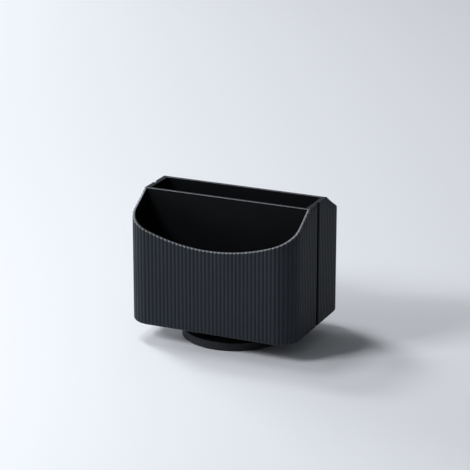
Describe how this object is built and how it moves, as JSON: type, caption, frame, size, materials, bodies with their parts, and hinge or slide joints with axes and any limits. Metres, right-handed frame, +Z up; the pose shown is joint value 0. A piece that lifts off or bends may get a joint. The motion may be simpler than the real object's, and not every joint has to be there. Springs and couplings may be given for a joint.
{
  "type": "rotating desk organizer",
  "caption": "Desk organizer that turns on a round foot: two ribbed pockets with curved scooped rims, back to back, and a straight bin between them.",
  "frame": {"origin": "on the desk, on the turning axis, under the middle of the foot", "axes": "+Z up, +X along the wide front, -Y out of the front pocket when the organizer is at rest"},
  "size_m": [0.185, 0.136, 0.1535],
  "materials": {
    "body_plastic": "fine matte texture, reeded outside",
    "foot_plastic": "fine matte texture",
    "pad_rubber": "matt",
    "race_steel": "bright pressed steel",
    "ball_steel": "polished",
    "acetal": "natural white, slightly waxy",
    "screw_steel": "zinc plated"
  },
  "bodies": {
    "foot": {"foot_disc": "foot_plastic", "foot_pads": "pad_rubber", "lower_race": "race_steel", "pivot_bush": "acetal"},
    "organizer": {"front_shell": "body_plastic", "rear_shell": "body_plastic", "centre_bin": "body_plastic", "carrier_plate": "body_plastic", "carrier_screws": "screw_steel", "upper_race": "race_steel", "pivot_bolt": "screw_steel", "pivot_nut": "screw_steel", "thrust_washer": "acetal", "wave_washer": "race_steel"},
    "ball_bearing": {"ball_cage": "acetal", "bearing_balls": "ball_steel"}
  },
  "joints": [
    {"name": "organizer_spin", "type": "hinge", "parent": "foot", "child": "organizer", "pos_m": [0, 0, 0.0123], "axis": [0, 0, 1], "continuous": true},
    {"name": "bearing_spin", "type": "hinge", "parent": "foot", "child": "ball_bearing", "pos_m": [0, 0, 0.0123], "axis": [0, 0, 1], "continuous": true}
  ],
  "couplings": [
    {"joint": "bearing_spin", "follows": "organizer_spin", "ratio": 0.5}
  ]
}
